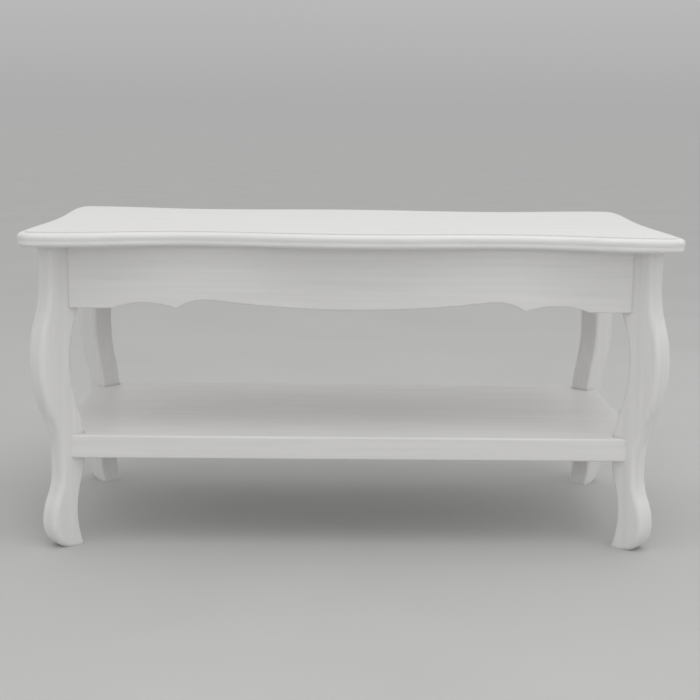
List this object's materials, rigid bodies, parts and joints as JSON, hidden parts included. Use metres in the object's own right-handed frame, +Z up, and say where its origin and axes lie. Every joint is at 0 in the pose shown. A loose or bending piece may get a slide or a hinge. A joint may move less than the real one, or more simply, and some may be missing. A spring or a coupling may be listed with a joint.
{
  "type": "low console table",
  "caption": "Low white console table: moulded wavy top, scalloped aprons, S-shaped legs set diagonally at the corners, and a full shelf notched round the legs.",
  "frame": {"origin": "on the floor under the middle of the table", "axes": "+Z up, +X along the table to the viewer's right, -Y towards the front"},
  "size_m": [0.9, 0.478, 0.452],
  "materials": {
    "white_paint": "satin white paint on board",
    "raw_hardwood": "planed, unfinished",
    "zinc_steel": "bright zinc plate"
  },
  "bodies": {
    "root": {"table_top": "white_paint", "shelf": "white_paint", "front_apron": "white_paint", "rear_apron": "white_paint", "left_apron": "white_paint", "right_apron": "white_paint", "front_left_leg": "white_paint", "front_right_leg": "white_paint", "rear_left_leg": "white_paint", "rear_right_leg": "white_paint", "front_left_corner_block": "raw_hardwood", "front_right_corner_block": "raw_hardwood", "rear_left_corner_block": "raw_hardwood", "rear_right_corner_block": "raw_hardwood", "shelf_dowels": "raw_hardwood", "leg_bolts": "zinc_steel", "leg_washers": "zinc_steel", "leg_nuts": "zinc_steel", "corner_block_screws": "zinc_steel", "top_brackets": "zinc_steel", "top_bracket_screws": "zinc_steel"}
  },
  "joints": []
}
